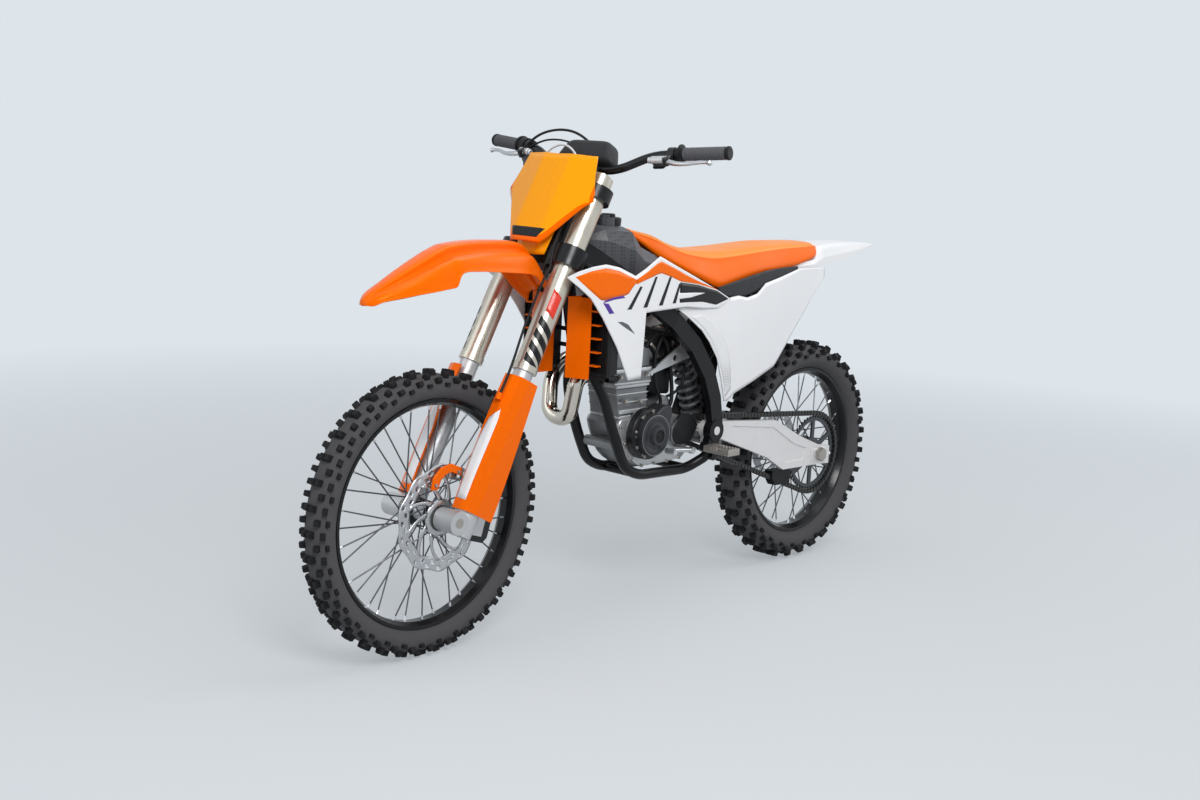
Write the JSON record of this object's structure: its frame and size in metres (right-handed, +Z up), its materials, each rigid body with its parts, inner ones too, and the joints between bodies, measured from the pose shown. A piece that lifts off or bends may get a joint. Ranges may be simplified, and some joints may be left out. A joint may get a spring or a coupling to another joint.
{
  "type": "motocross bike",
  "caption": "Off-road motocross bike with spoked wheels, knobbly tyres, steering fork, single-cylinder engine, bench seat, shrouds and high fenders.",
  "frame": {"origin": "the rider's place on top of the seat, in the bike's middle plane", "axes": "+X forward along the bike, +Y to the rider's left, +Z up, with the bike upright and the steering straight"},
  "size_m": [2.1785, 0.8134, 1.2598],
  "materials": {
    "tyre": "matt black rubber",
    "black_rim": "black anodised aluminium, satin",
    "hub_alloy": "black anodised hub with bright spokes",
    "disc_steel": "ground stainless steel",
    "sprocket": "machined steel",
    "chain_steel": "oiled steel",
    "axle_steel": "plated steel",
    "fork_alloy": "anodised aluminium, satin",
    "slider_chrome": "polished tube with cast feet",
    "black_alloy": "black anodised aluminium",
    "grip_rubber": "moulded grey rubber",
    "pad_foam": "vinyl over foam",
    "lever_alloy": "forged aluminium, bright",
    "orange_plastic": "moulded orange plastic",
    "white_plastic": "moulded white plastic",
    "seat_cover": "textured vinyl over foam",
    "frame_black": "powder coated steel tube",
    "cast_alloy": "cast aluminium, satin",
    "engine_alloy": "cast aluminium",
    "shock_steel": "coated spring steel",
    "tank_plastic": "dark grey plastic",
    "radiator_black": "black coated aluminium fins",
    "header_steel": "polished stainless steel",
    "silencer_alloy": "brushed aluminium",
    "peg_steel": "plated steel",
    "caliper_black": "black coated casting",
    "guide_plastic": "black nylon",
    "hose_rubber": "black rubber hose"
  },
  "bodies": {
    "chassis": {"main_frame": "frame_black", "subframe": "frame_black", "swingarm": "cast_alloy", "shock": "shock_steel", "engine_case": "engine_alloy", "cylinder_head": "engine_alloy", "fuel_tank": "tank_plastic", "seat": "seat_cover", "shrouds": "white_plastic", "side_panels": "white_plastic", "rear_fender": "white_plastic", "radiators": "radiator_black", "radiator_guards": "orange_plastic", "exhaust_header": "header_steel", "silencer": "silencer_alloy", "foot_pegs": "peg_steel", "foot_controls": "lever_alloy", "rear_axle": "axle_steel", "rear_caliper": "caliper_black", "chain": "chain_steel", "chain_guide": "guide_plastic", "head_stay": "cast_alloy", "airbox": "guide_plastic"},
    "steering": {"triple_clamps": "black_alloy", "fork_tubes": "fork_alloy", "fork_sliders": "slider_chrome", "front_axle": "axle_steel", "fork_guards": "orange_plastic", "front_fender": "orange_plastic", "number_plate": "orange_plastic", "handlebar": "black_alloy", "grips": "grip_rubber", "bar_controls": "lever_alloy", "bar_pad": "pad_foam", "front_caliper": "caliper_black", "brake_hose": "hose_rubber"},
    "front_wheel": {"front_tyre": "tyre", "front_rim": "black_rim", "front_hub": "hub_alloy", "front_disc": "disc_steel"},
    "rear_wheel": {"rear_tyre": "tyre", "rear_rim": "black_rim", "rear_hub": "hub_alloy", "rear_disc": "disc_steel", "rear_sprocket": "sprocket"}
  },
  "joints": [
    {"name": "steering", "type": "hinge", "parent": "chassis", "child": "steering", "pos_m": [0.57, 0, 0.062], "axis": [-0.4617, 0, 0.887], "range_deg": [-42, 42]},
    {"name": "front_wheel_spin", "type": "hinge", "parent": "steering", "child": "front_wheel", "pos_m": [0.98799, 0, -0.611], "axis": [0, 1, 0], "continuous": true},
    {"name": "rear_wheel_spin", "type": "hinge", "parent": "chassis", "child": "rear_wheel", "pos_m": [-0.505, 0, -0.621], "axis": [0, 1, 0], "continuous": true}
  ]
}
